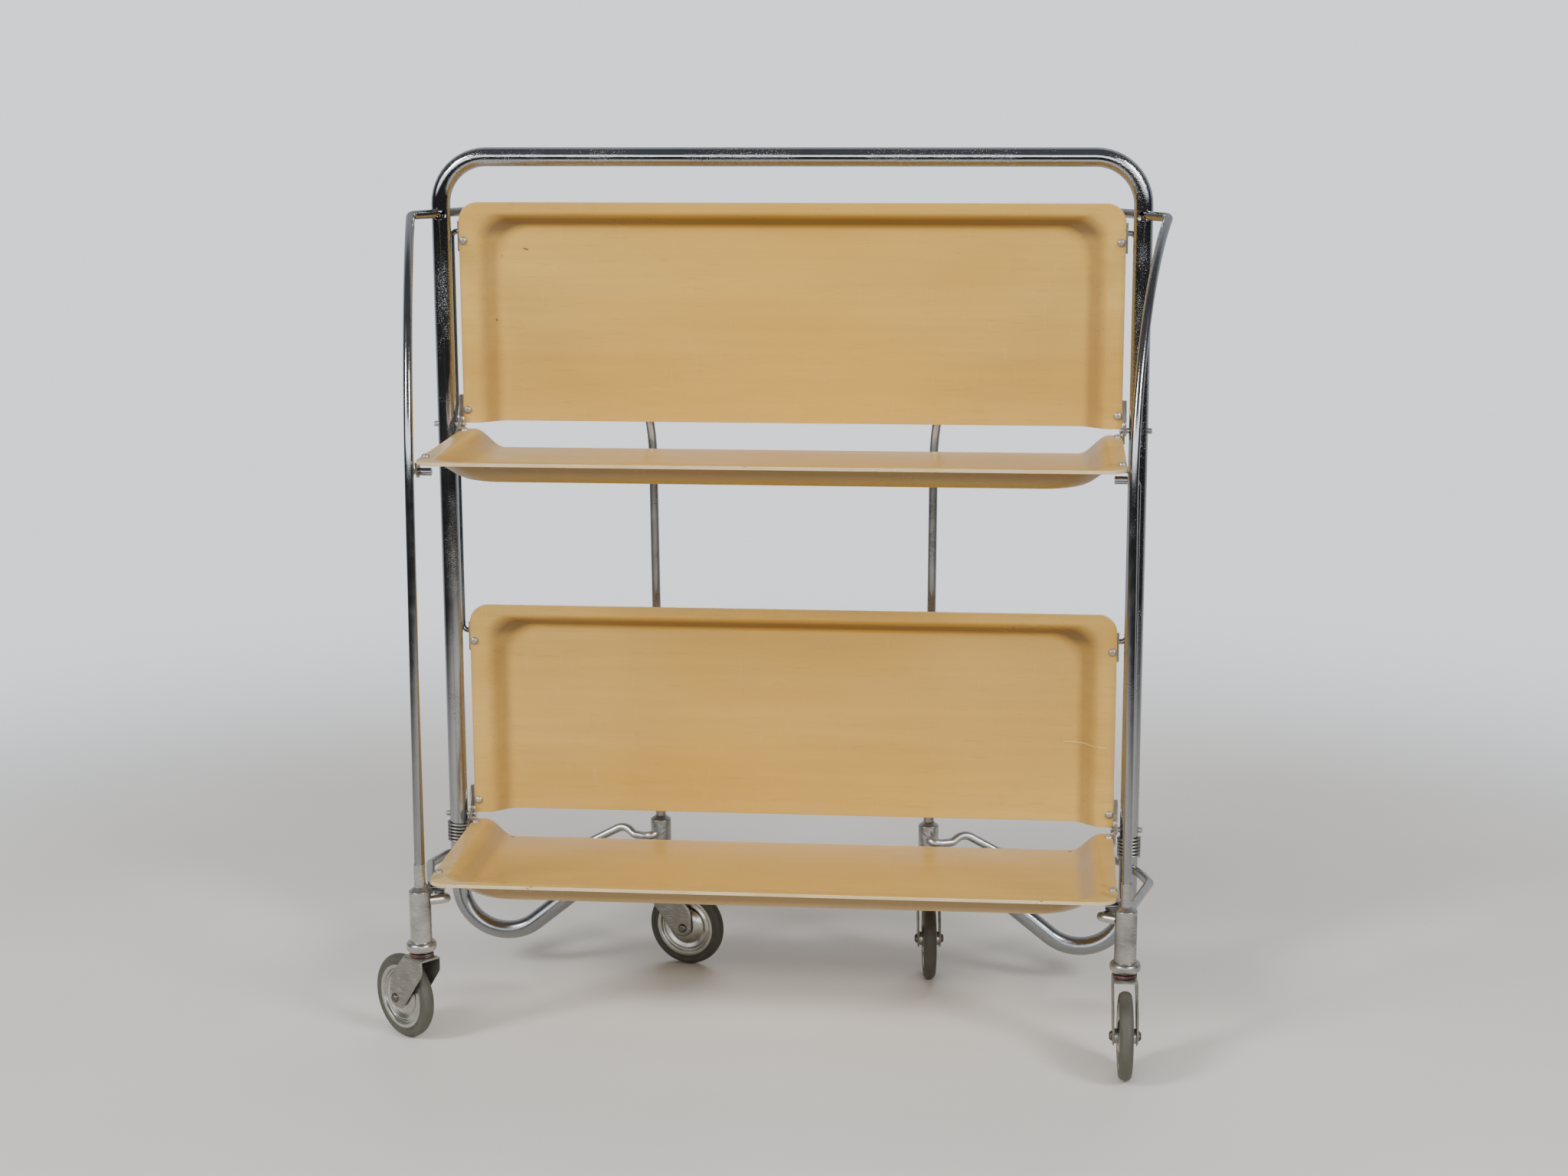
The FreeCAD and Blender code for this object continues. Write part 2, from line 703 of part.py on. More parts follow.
def bent_rod(points, radii, diameter):
    """A round rod along a bent path."""
    circle = Part.Circle(points[0], points[1] - points[0], diameter / 2)
    return rounded_wire(points, radii).makePipeShell([Part.Wire(circle.toShape())], True, False)


def hooked_rod(pivot, points, radii):
    """A bent rod whose first end is necked, enters the upright and hooks down on the pivot axis."""
    rod_radius, neck = value("rod_diameter / 2"), value("neck_diameter")
    outwards = (points[0] - pivot).normalize()
    taper_start = pivot + outwards * value("neck_stand")
    rod_start = taper_start + outwards * value("taper_length")
    rod = bent_rod([rod_start] + points, radii, 2 * rod_radius)
    taper = Part.makeCone(
        neck / 2, rod_radius, value("taper_length"), taper_start, outwards
    )
    foot = pivot - Z_AXIS * value("hook_length")
    hook = bent_rod([foot, pivot, taper_start + outwards * neck], [value("neck_bend_radius")], neck)
    return rod.fuse([taper, hook]).removeSplitter()


def build_leg(name, hand):
    """The gate's leg: necked top rod, curved shoulder and a leg that leans a little."""
    top = value(GATE_TOP)
    pivot = Vector(0, 0, top)
    bend = Vector(value("top_bend_along"), hand * value("top_bend_out"), top)
    knee = Vector(value(GATE_REACH), 0, value(f"{COLLAR_TOP} + rod_diameter / 2"))
    foot = Vector(knee.x, 0, value(LEG_FOOT))
    elbow = Vector(knee.x - value("leg_lean_along"), -hand * value("leg_lean_in"), 0)
    across = math.hypot(elbow.x - bend.x, elbow.y - bend.y)
    elbow.z = top - across * math.tan(math.radians(value("shoulder_slope")))
    radii = [value("top_bend_radius"), value("shoulder_radius"), value("shoulder_radius")]
    leg = doc.addObject("Part::Feature", f"{name}_leg")
    leg.Shape = hooked_rod(pivot, [bend, elbow, knee, foot], radii)
    return keep(leg, f"{name}_leg")


# The arm's bend radii in rod diameters, from the pivot to the socket.
ARM_BENDS = (1, 1.2, 2, 1.5, 1, 2, 0.8)


def build_arm(name, hand):
    """The gate's lower arm; the lower tray's stud rests in the dip behind its hump."""
    height, dip_height, dip = value(ARM_HEIGHT), value(DIP_HEIGHT), value(DIP_ALONG)
    rod = value("rod_diameter")
    neck_out = value("arm_neck_along * top_bend_out / top_bend_along")
    hump = dip - value("hump_before_dip")
    loop_height = dip_height + value("loop_rise")
    dip_run = value("(dip_before_stud + dip_after_stud) / (dip_before_stud + loop_after_dip)")
    dip_end_in = value("dip_in") + dip_run * value("loop_in - dip_in")
    plan = [
        (value("arm_neck_along"), neck_out, height),
        (value("arm_corner_along"), value("arm_corner_out"), height),
        (
            hump - value("arm_rise_before_hump"),
            value("arm_rise_out"),
            height + value("arm_climb"),
        ),
        (hump, -value("hump_in"), dip_height + value("hump_rise")),
        (dip - value("dip_before_stud"), -value("dip_in"), dip_height),
        (dip + value("dip_after_stud"), -dip_end_in, dip_height),
        (dip + value("loop_after_dip"), -value("loop_in"), loop_height),
        (value(GATE_REACH), -rod, loop_height),
    ]
    points = [Vector(x, hand * y, z) for x, y, z in plan]
    radii = [tightness * rod for tightness in ARM_BENDS]
    rod_shape = hooked_rod(Vector(0, 0, height), points, radii)
    socket = Part.makeCylinder(
        value("socket_diameter / 2"), value(SOCKET_TOP), Vector(value(GATE_REACH), 0, 0)
    )
    arm = doc.addObject("Part::Feature", f"{name}_arm")
    arm.Shape = rod_shape.cut(socket)
    return keep(arm, f"{name}_arm")


def build_socket(name):
    """The socket on the leg's foot: collar, barrel, bearing ring and the bore for the stem."""
    bore, leg_bore = "stem_diameter / 2 + running_clearance", "rod_diameter / 2 + fixed_clearance"
    collar = "rod_diameter / 2 + collar_wall"
    barrel, ring = "socket_diameter / 2", "ring_diameter / 2"
    ring_top = f"{SOCKET_FOOT} + ring_height"
    corners = [
        (bore, SOCKET_FOOT, None),
        (ring, SOCKET_FOOT, "ring_height / 2"),
        (ring, ring_top, "(ring_diameter - socket_diameter) / 2 - socket_chamfer / 2"),
        (barrel, ring_top, None),
        (barrel, SOCKET_TOP, "socket_chamfer"),
        (f"{collar} + socket_chamfer", f"{SOCKET_TOP} + socket_shoulder", "socket_chamfer / 2"),
        (collar, f"{SOCKET_TOP} + socket_shoulder + socket_chamfer", None),
        (collar, COLLAR_TOP, None),
        (leg_bore, COLLAR_TOP, None),
        (leg_bore, LEG_FOOT, None),
        ("0", LEG_FOOT, None),
        ("0", STEM_BORE_TOP, None),
        (bore, STEM_BORE_TOP, None),
    ]
    return build_turned_piece(f"{name}_castor_socket", corners, label=f"{name}_castor_socket")


# ---------------------------------------------------------------- castors


def build_fork(name):
    """A pressed fork: crown over the wheel, two tapering cheeks down to the axle."""
    body = new_body(f"{name}_castor_fork")
    side = new_sketch(body, f"{name}_fork_side", "XZ_Plane")
    axle_z = "wheel_diameter / 2"
    foot = f"{axle_z} - cheek_radius"
    back, front = "castor_trail + cheek_radius", "castor_trail - cheek_radius"
    end = "cheek_radius - fixed_clearance"
    draw_outline(
        side,
        [
            ("-crown_reach", CROWN_TOP, None),
            ("crown_reach", CROWN_TOP, "fork_bend_radius"),
            (back, f"{axle_z} + 2 * cheek_radius", "2 * cheek_radius"),
            (back, foot, end),
            (front, foot, end),
            ("-crown_reach", f"{CROWN_TOP} - crown_reach", "cheek_radius"),
        ],
    )
    blank = pad(body, side, FORK_WIDTH, both_ways=True)
    rounded = fillet(
        body,
        blank,
        "fork_bend_radius",
        lambda edge: edge.BoundBox.YLength < 1e-6
        and abs(edge.BoundBox.ZMin - value(CROWN_TOP)) < 1e-6
        and edge.BoundBox.XLength > value("crown_reach"),
    )
    gap = new_sketch(body, f"{name}_fork_gap", "XZ_Plane")
    crown_bottom = f"{CROWN_TOP} - fork_sheet"
    draw_outline(
        gap,
        [
            ("-2 * crown_reach", "0", None),
            ("castor_trail + wheel_diameter / 2", "0", None),
            ("castor_trail + wheel_diameter / 2", crown_bottom, None),
            ("-2 * crown_reach", crown_bottom, None),
        ],
    )
    pocket(body, gap, f"{FORK_WIDTH} - 2 * fork_sheet")
    axle_hole = new_sketch(body, f"{name}_axle_hole", "XZ_Plane")
    draw_circle(axle_hole, "castor_trail", axle_z, "axle_diameter + 2 * fixed_clearance")
    pocket(body, axle_hole, f"2 * {FORK_WIDTH}")
    stem_hole = new_sketch(body, f"{name}_stem_hole", "XY_Plane", CROWN_TOP)
    draw_circle(stem_hole, "0", "0", "stem_diameter + 2 * fixed_clearance")
    pocket(body, stem_hole, "4 * fork_sheet")
    return body


def build_stem(name):
    label = f"{name}_castor_stem"
    radius, head = "stem_diameter / 2", "stem_head_diameter / 2"
    crown_bottom = f"({CROWN_TOP} - fork_sheet)"
    corners = [
        ("0", f"{crown_bottom} - stem_head_height", None),
        (head, f"{crown_bottom} - stem_head_height", "stem_head_height / 2"),
        (head, crown_bottom, None),
        (radius, crown_bottom, None),
        (radius, f"{CROWN_TOP} + stem_length", "stem_diameter / 8"),
        ("0", f"{CROWN_TOP} + stem_length", None),
    ]
    return build_turned_piece(label, corners, label=label)


def build_washer(name):
    label = f"{name}_castor_washer"
    inner, outer = "stem_diameter / 2 + fixed_clearance", "washer_diameter / 2"
    top = f"{CROWN_TOP} + washer_thickness"
    corners = [
        (inner, CROWN_TOP, None),
        (outer, CROWN_TOP, "washer_thickness / 3"),
        (outer, top, "washer_thickness / 3"),
        (inner, top, None),
    ]
    return build_turned_piece(label, corners, label=label)


def both_sides(half):
    """A closed outline from its upper half, given from the bore outwards."""
    lower = [(x, f"-({y})", radius) for x, y, radius in reversed(half)]
    return half + lower


def build_wheel(name):
    """The pressed wheel disc; it turns about its y axis."""
    label = f"{name}_castor_wheel"
    rim = "wheel_diameter / 2 - tyre_thickness"
    bore, hub = "axle_diameter / 2 + running_clearance", "hub_diameter / 2"
    half = [
        (bore, "hub_width / 2", None),
        (hub, "hub_width / 2", None),
        (hub, "wheel_dome_width / 2", None),
        ("(hub_diameter / 2 + wheel_dome_radius) / 2", "wheel_dome_width / 2", "hub_diameter"),
        ("wheel_dome_radius", "wheel_web_width / 2", None),
        ("wheel_ring_radius", "wheel_ring_width / 2", "wheel_bead / 3"),
        ("wheel_groove_radius", "wheel_web_width / 2", "wheel_bead / 3"),
        (f"{rim} - wheel_bead", "wheel_rim_width / 2", "wheel_bead / 3"),
        (rim, "wheel_rim_width / 2", None),
    ]
    return build_turned_piece(label, both_sides(half), role="XY_Plane", label=label)


def build_tyre(name):
    label = f"{name}_castor_tyre"
    inner, outer = "wheel_diameter / 2 - tyre_thickness", "wheel_diameter / 2"
    half = [(inner, "tyre_width / 2", None), (outer, "tyre_width / 2", "tread_radius")]
    return build_turned_piece(label, both_sides(half), role="XY_Plane", label=label)


def build_axle(name):
    """A riveted axle with a low dome on each end."""
    label = f"{name}_castor_axle"
    radius, head = "axle_diameter / 2", "axle_head_diameter / 2"
    half = [
        (radius, f"{FORK_WIDTH} / 2", None),
        (head, f"{FORK_WIDTH} / 2", None),
        (head, f"{FORK_WIDTH} / 2 + axle_head_height", "axle_head_height - fixed_clearance"),
        ("0", f"{FORK_WIDTH} / 2 + axle_head_height", None),
    ]
    corners = [(x, f"-({y})", r) for x, y, r in reversed(half)] + half
    return build_turned_piece(label, corners, role="XY_Plane", label=label)


def build_gate(name, side, depth, heading, hand):
    """A gate with its castor, placed on its pivot axis and turned to its heading."""
    pivot_x, pivot_y = f"{side} * {UPRIGHT_X}", f"{depth} * {PIVOT_OFFSET}"
    turned = Rotation(Z_AXIS, value(heading))
    for piece in (build_leg(name, hand), build_arm(name, hand), build_socket(name)):
        if piece.TypeId == "Part::Feature":
            place(piece, pivot_x, pivot_y, "0", turned)
    leg_x = f"{pivot_x} + {GATE_REACH} * cos(({heading}) * 1deg)"
    leg_y = f"{pivot_y} + {GATE_REACH} * sin(({heading}) * 1deg)"
    place(doc.getObject(f"{name}_castor_socket"), leg_x, leg_y)
    swivel = f"swivel_angle_{name}"
    swivelled = Rotation(Z_AXIS, value(swivel))
    for piece in (build_fork(name), build_stem(name), build_washer(name)):
        place(piece, leg_x, leg_y, "0", swivelled)
    wheel_x = f"{leg_x} + castor_trail * cos({swivel} * 1deg)"
    wheel_y = f"{leg_y} + castor_trail * sin({swivel} * 1deg)"
    for piece in (build_wheel(name), build_tyre(name), build_axle(name)):
        place(piece, wheel_x, wheel_y, "wheel_diameter / 2", swivelled)


# ---------------------------------------------------------------- the whole trolley

build_hoop()
build_hinge_pins()
build_spring(-1, "spring_left")
build_spring(1, "spring_right")

TRAY_DOWN = Rotation(Z_AXIS, 180)  # the front trays reach towards -Y
TRAY_UP = Rotation(X_AXIS, 90)  # the rear trays are folded up, undersides to the rear
build_shelf_side("front", TRAY_DOWN, stack=0)
build_shelf_side("rear", TRAY_UP, stack=1)
for side, hand_name in ((-1, "left"), (1, "right")):
    front_stud = f"{HINGE_HEIGHT['upper']} - stud_drop"
    rear_stud = f"{HINGE_HEIGHT['upper']} + {STUD_REACH}"
    build_link(f"front_{hand_name}_link", side, f"-{STUD_REACH}", front_stud)
    build_link(f"rear_{hand_name}_link", side, "stud_drop", rear_stud)

build_gate("front_left", -1, -1, "-90 + gate_open_toe", hand=-1)
build_gate("front_right", 1, -1, "-90 - gate_open_toe", hand=1)
build_gate("rear_left", -1, 1, "gate_closed_angle", hand=1)
build_gate("rear_right", 1, 1, "180 - gate_closed_angle", hand=-1)

doc.recompute()

# ---------------------------------------------------------------- checks and export

failed = [item.Name for item in doc.Objects if {"Invalid", "Error"} & set(item.State)]
if failed:
    raise RuntimeError("objects that did not compute: " + ", ".join(failed))
for part in sub_parts:
    if part.Shape.isNull() or not part.Shape.isValid():
        raise RuntimeError(f"{part.Label} has no valid shape")

os.makedirs("parts", exist_ok=True)
for part in sub_parts:
    part.Shape.exportStep(f"parts/{part.Label}.step")
print(f"{len(sub_parts)} sub-parts written")
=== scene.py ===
import json
import math

import bmesh
import bpy
from mathutils import Matrix, Vector


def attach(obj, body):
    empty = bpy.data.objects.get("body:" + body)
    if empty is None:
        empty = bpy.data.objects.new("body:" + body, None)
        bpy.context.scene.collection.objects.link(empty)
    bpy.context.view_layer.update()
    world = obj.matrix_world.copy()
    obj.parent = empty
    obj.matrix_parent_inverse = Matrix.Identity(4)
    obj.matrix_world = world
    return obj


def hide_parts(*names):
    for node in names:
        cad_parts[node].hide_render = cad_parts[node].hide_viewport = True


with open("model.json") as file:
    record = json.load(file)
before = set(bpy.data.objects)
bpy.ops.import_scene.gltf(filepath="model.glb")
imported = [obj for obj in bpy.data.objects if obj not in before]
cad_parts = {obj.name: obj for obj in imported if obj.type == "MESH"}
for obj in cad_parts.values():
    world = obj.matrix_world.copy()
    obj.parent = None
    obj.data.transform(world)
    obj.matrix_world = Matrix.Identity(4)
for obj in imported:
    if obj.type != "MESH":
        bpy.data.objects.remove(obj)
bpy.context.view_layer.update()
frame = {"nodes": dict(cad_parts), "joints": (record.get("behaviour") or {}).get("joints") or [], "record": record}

scene = bpy.context.scene
bodies = frame["record"]["behaviour"]["bodies"]
body_of = {node: body for body, members in bodies.items() for node in members}
place_of = {joint["name"]: joint["pos_m"] for joint in frame["joints"]}

# ---------------------------------------------------------------- sizes, in metres

TRAY_HALF, TRAY_REACH = 0.298, 0.200
TRAY_BACK = 0.0005  # from the hinge plane to the tray's inner edge
RIM_DROP = 0.004  # from the hinge's height to the lip's face
PLY, PLY_ROUNDING = 0.0031, 0.0004
RECESS = 0.0167
LIP, OUTER_RUN = 0.008, 0.017  # the outer edge's lip, and the run of its sloped wall
END_LIP, END_RUN = 0.011, 0.0275  # the same at the tray's ends
CORNER, FLOOR_CORNER = 0.017, 0.034
WALL_STEPS, CORNER_STEPS, INNER_STEPS, OUTER_STEPS = 16, 14, 8, 16

WHEEL_RADIUS, TYRE_BORE, TYRE_STEPS = 0.0375, 0.0285, 120
# half of the tyre's section, from its bead to the middle of its tread: radius, half width
TYRE_HALF = (
    (TYRE_BORE, 0.0052), (0.0289, 0.0058), (0.0297, 0.0060), (0.0304, 0.0058),
    (0.0309, 0.0053), (0.0314, 0.0052), (0.0322, 0.0055), (0.0334, 0.0056), (0.0346, 0.0053),
    (0.0357, 0.0046), (0.0366, 0.0035), (0.0372, 0.0021), (WHEEL_RADIUS, 0.0),
)

# edges sharper than these angles stay sharp, in degrees
CAD_SHARP, TYRE_SHARP, PLY_SHARP = 32, 50, 50

# ---------------------------------------------------------------- colours, in 8-bit sRGB

DARK_PIT, PALE_CRUST = (96, 88, 80), (196, 196, 190)
SCRATCH, RUST = (220, 218, 212), (118, 62, 44)
RUBBER_SPOT = (60, 56, 52)
WOOD, LIGHT_WOOD, LIGHTER_MIDDLE = (210, 167, 82), (226, 187, 100), (232, 178, 66)
WOOD_GRAIN, WOOD_FLECK, WOOD_RAY = (190, 142, 72), (162, 116, 62), (236, 206, 142)
# the first of these is the colour of the painted shade on the trays' sloped walls
PAINTED_WALL_SHADE, WOOD_SPECK = (107, 87, 74), (66, 38, 22)
PLY_LIGHT, PLY_DARK, PLY_WORN = (232, 214, 176), (206, 176, 126), (214, 186, 140)
PLY_CHIP = (84, 58, 36)
DARK_DENT, BROWN_DENT, BARE_SCRATCH = (92, 58, 34), (150, 112, 70), (232, 204, 150)
FLOOR_DARK, FLOOR_LIGHT = (220, 216, 210), (228, 225, 219)


def rgb(colour, tone=1.0):
    """A linear colour from 8-bit sRGB values, all times tone."""
    def linear(c):
        c = tone * c / 255
        return c / 12.92 if c <= 0.04045 else ((c + 0.055) / 1.055) ** 2.4
    return (*map(linear, colour), 1.0)


# ---------------------------------------------------------------- node trees


class Tree:
    """Short ways to add nodes. A value is a number, a tuple or the output of another node."""

    def __init__(self, tree):
        self.tree = tree

    def add(self, kind, inputs=None, **settings):
        node = self.tree.nodes.new(kind)
        for name, setting in settings.items():
            setattr(node, name, setting)
        for name, value in (inputs or {}).items():
            self.join(value, node.inputs[name])
        return node

    def join(self, value, socket):
        if isinstance(value, bpy.types.NodeSocket):
            self.tree.links.new(value, socket)
        else:
            socket.default_value = value

    def span(self, value, low, high, to_low=0.0, to_high=1.0, **settings):
        """Low to high becomes to_low to to_high, and stays there beyond them."""
        inputs = {"Value": value, "From Min": low, "From Max": high,
                  "To Min": to_low, "To Max": to_high}
        return self.add("ShaderNodeMapRange", inputs, **settings).outputs["Result"]

    def maths(self, operation, *values):
        node = self.add("ShaderNodeMath", dict(enumerate(values)), operation=operation)
        return node.outputs[0]

    def times(self, first, *others):
        for other in others:
            first = self.maths("MULTIPLY", first, other)
        return first

    def parts(self, vector):
        """A vector's X, Y and Z."""
        return self.add("ShaderNodeSeparateXYZ", {"Vector": vector}).outputs


class Finish(Tree):
    """A material with a principled shader, patterned in the piece's own coordinates."""

    def __init__(self, name, **sockets):
        self.material = bpy.data.materials.new(name)
        self.material.use_nodes = True
        super().__init__(self.material.node_tree)
        self.shader = self.tree.nodes["Principled BSDF"]
        self.apply(**sockets)

    def apply(self, **sockets):
        for name, value in sockets.items():
            self.join(value, self.shader.inputs[name.replace("_", " ")])
        return self.material

    def place(self, stretch=(1, 1, 1), shift=(0, 0, 0)):
        """The piece's own coordinates in metres, stretched and shifted."""
        if "own_place" not in self.tree.nodes:
            self.tree.nodes.new("ShaderNodeTexCoord").name = "own_place"
        inputs = {"Vector": self.tree.nodes["own_place"].outputs["Object"],
                  "Scale": stretch, "Location": shift}
        return self.add("ShaderNodeMapping", inputs).outputs["Vector"]

    def noise(self, scale, detail, stretch=(1, 1, 1), shift=(0, 0, 0), rough=0.5):
        inputs = {"Vector": self.place(stretch, shift), "Scale": scale,
                  "Detail": detail, "Roughness": rough}
        return self.add("ShaderNodeTexNoise", inputs).outputs["Fac"]

    def cells(self, scale, shift):
        inputs = {"Vector": self.place(shift=shift), "Scale": scale}
        return self.add("ShaderNodeTexVoronoi", inputs).outputs["Distance"]

    def mix(self, factor, a, b):
        node = self.add("ShaderNodeMix", data_type="RGBA")
        self.join(factor, node.inputs["Factor"])
        self.join(a, node.inputs[6])
        self.join(b, node.inputs[7])
        return node.outputs[2]

    def bump(self, height, distance, strength):
        """Bumps on top of those that are there already."""
        normal = self.shader.inputs["Normal"]
        inputs = {"Height": height, "Distance": distance, "Strength": strength}
        if normal.links:
            inputs["Normal"] = normal.links[0].from_socket
        self.join(self.add("ShaderNodeBump", inputs).outputs["Normal"], normal)


# ---------------------------------------------------------------- metal and rubber


def chrome(name, tint, roughness, pits, haze, rough_dark_below=None):
    """Old chrome: a hazy polish with dark pits and pale crust, and rougher and darker below a height."""
    g = Finish(name)
    film = g.span(g.noise(9, 3, stretch=(1, 1, 0.6)), 0.35, 0.7)
    patch = g.span(g.noise(26, 3, stretch=(1, 1, 0.5), shift=(3, 1, 2)), 0.42, 0.62)
    pit = g.times(g.span(g.noise(900, 2), 0.60, 0.70), patch, pits)
    crust = g.span(g.noise(1300, 3, stretch=(1, 1, 0.7), shift=(9, 4, 6)), 0.62, 0.68)
    crust = g.times(crust, patch, pits)

    bright, dull = rgb(tint), rgb(tint, 0.72)
    colour = g.mix(film, bright, g.mix(0.35, bright, dull))
    colour = g.mix(pit, colour, rgb(DARK_PIT))
    colour = g.mix(crust, colour, rgb(PALE_CRUST))
    rough = g.span(g.noise(60, 3), 0.3, 0.7, roughness, roughness + haze)
    if rough_dark_below:
        low_rough_dark = g.span(g.parts(g.place())["Z"], 0.2 * rough_dark_below, rough_dark_below, 1.0, 0.0)
        rough = g.maths("ADD", rough, g.times(low_rough_dark, 0.15))
        # the colour darker towards the bottom
        colour = g.mix(g.times(low_rough_dark, 0.55), colour, dull)
    worn = g.maths("MAXIMUM", pit, crust)
    g.bump(g.times(g.noise(1100, 2), patch), 0.00022, 0.8 * pits)
    g.bump(g.noise(14, 2), 0.0006, 0.03)
    return g.apply(Base_Color=colour, Metallic=g.span(crust, 0.0, 1.0, 0.98, 0.3),
                   Roughness=g.maths("MAXIMUM", rough, g.times(worn, 0.5)))


def steel(name, tint, roughness, rust=0.0, grain=0.3, metal=1.0, dirt=0.68):
    """Dull plated steel with scratches and a little rust. Grime takes the tint times dirt."""
    g = Finish(name)
    grime = g.span(g.noise(38, 4), 0.35, 0.7)
    scratches = g.span(g.noise(120, 3, stretch=(1, 1, 9)), 0.56, 0.66)
    red = g.times(g.span(g.noise(85, 4, shift=(5, 2, 7)), 0.5, 0.62), rust)
    colour = g.mix(grime, rgb(tint), rgb(tint, dirt))
    colour = g.mix(g.times(scratches, 0.25), colour, rgb(SCRATCH))
    colour = g.mix(red, colour, rgb(RUST))
    g.bump(g.noise(700, 2), 0.00008, grain)
    return g.apply(Base_Color=colour, Metallic=g.span(red, 0.0, 1.0, metal, 0.3 * metal),
                   Roughness=g.span(grime, 0.0, 1.0, roughness, roughness + 0.14))


def rubber(name, tint):
    """Aged grey tyre rubber: scuffed, dusty and slightly brown."""
    g = Finish(name)
    dust = g.span(g.noise(70, 5), 0.35, 0.7)
    spots = g.span(g.noise(420, 3, shift=(1, 4, 2)), 0.58, 0.7)
    colour = g.mix(dust, rgb(tint), rgb(tint, 1.22))
    colour = g.mix(g.times(spots, 0.35), colour, rgb(RUBBER_SPOT))
    g.bump(g.noise(320, 4), 0.0002, 0.35)
    return g.apply(Base_Color=colour, Roughness=g.span(dust, 0.0, 1.0, 0.52, 0.72))


# ---------------------------------------------------------------- wood

END_SHADE = 0.3  # how much painted shade darkens the trays' end walls


def wall_painted_shade(g, at, outer_shade):
    """How much painted shade darkens a point of a tray: on its walls alone, the outer one by outer_shade."""
    floor, lip = -RIM_DROP - RECESS, -RIM_DROP
    above_floor = g.span(at["Z"], floor + 0.03 * RECESS, floor + 0.25 * RECESS)
    below_lip = g.span(at["Z"], lip - 0.40 * RECESS, lip - 0.05 * RECESS, 1.0, 0.0)
    foot = TRAY_REACH - LIP - OUTER_RUN
    shade = g.span(at["Y"], foot - 0.5 * OUTER_RUN, foot, END_SHADE, outer_shade)
    return g.times(above_floor, below_lip, shade)


def small_mark(g, x, y, half_length, half_width, turn):
    """How much a point of the tray's face shows of one wavy dent or scratch, at turn degrees."""
    wave = g.times(g.maths("SUBTRACT", g.noise(70, 2), 0.5), 0.0012)
    turned = g.add("ShaderNodeMapping", {"Vector": g.place(shift=(-x, -y, 0)),
                                         "Rotation": (0, 0, math.radians(turn))})
    at = g.parts(turned.outputs["Vector"])
    along = g.maths("ABSOLUTE", at["X"])
    across = g.maths("ABSOLUTE", g.maths("ADD", at["Y"], wave))
    return g.times(g.span(along, 0.8 * half_length, 1.2 * half_length, 0.85, 0.0),
                   g.span(across, 0.6 * half_width, 1.6 * half_width, 1.0, 0.0))


def veneer(name, shift, marks=(), tone=1.0, outer_shade=END_SHADE):
    """Lacquered pale veneer in a tray's own frame, its grain along x.

    It has flecks, small specks, painted shade on its walls and the marks, which are given as x, y, half
    length, half width, turn in degrees and colour. A tone below 1 darkens the whole, as painted shade.
    """
    g = Finish(name, Coat_Weight=0.24, Coat_Roughness=0.24)
    broad = g.noise(5, 3, stretch=(0.5, 2.4, 2.4), shift=shift)
    grain = g.noise(60, 5, stretch=(0.06, 1.6, 1.6), shift=shift, rough=0.6)
    fleck = g.span(g.noise(420, 2, stretch=(0.10, 1, 1), shift=shift), 0.60, 0.74)
    rays = g.span(g.noise(240, 2, stretch=(1, 0.16, 0.16), shift=shift), 0.62, 0.76)
    colour = g.mix(g.span(broad, 0.32, 0.68), rgb(WOOD, tone), rgb(LIGHT_WOOD, tone))
    colour = g.mix(g.times(g.span(grain, 0.35, 0.7), 0.30), colour, rgb(WOOD_GRAIN))
    colour = g.mix(g.times(fleck, 0.22), colour, rgb(WOOD_FLECK))
    colour = g.mix(g.times(rays, 0.12), colour, rgb(WOOD_RAY))

    at = g.parts(g.place())
    # lighter and more orange towards the middle of the tray's length
    middle = g.times(g.span(g.maths("ABSOLUTE", at["X"]), 0.09, 0.23, 1.0, 0.0),
                     g.span(g.noise(8, 2, shift=shift), 0.3, 0.6, 0.5, 1.0))
    colour = g.mix(g.times(middle, 0.32), colour, rgb(LIGHTER_MIDDLE, tone))
    # painted shade: the tray's sloped walls are darkened towards the wall shade colour
    colour = g.mix(wall_painted_shade(g, at, outer_shade), colour, rgb(PAINTED_WALL_SHADE))

    speck = g.span(g.cells(26, shift), 0.012, 0.022, 1.0, 0.0)
    rare = g.span(g.noise(11, 1, shift=shift), 0.60, 0.66)
    colour = g.mix(g.times(speck, rare, 0.8), colour, rgb(WOOD_SPECK))
    for *spot, tint in marks:
        colour = g.mix(small_mark(g, *spot), colour, rgb(tint))
    g.bump(grain, 0.00005, 0.25)
    g.bump(g.noise(7, 2, shift=shift), 0.0006, 0.2)
    smear = g.noise(13, 3, stretch=(0.7, 1, 1), shift=shift)
    return g.apply(Base_Color=colour, Roughness=g.span(smear, 0.3, 0.72, 0.25, 0.42))


def ply_edge(name, shift):
    """The tray's cut edge: pale layered ply with dark chips."""
    g = Finish(name)
    layers = g.maths("SINE", g.times(g.parts(g.place())["Z"], 6100))
    worn = g.span(g.noise(90, 4, stretch=(0.4, 1, 1), shift=shift), 0.4, 0.68)
    chips = g.span(g.noise(160, 3, stretch=(0.5, 1, 1), shift=shift), 0.655, 0.70)
    colour = g.mix(g.span(layers, -0.2, 0.9), rgb(PLY_LIGHT), rgb(PLY_DARK))
    colour = g.mix(worn, colour, rgb(PLY_WORN))
    colour = g.mix(g.times(chips, 0.85), colour, rgb(PLY_CHIP))
    g.bump(chips, 0.0004, 0.5)
    return g.apply(Base_Color=colour, Roughness=0.6)


# ---------------------------------------------------------------- the CAD nodes' materials

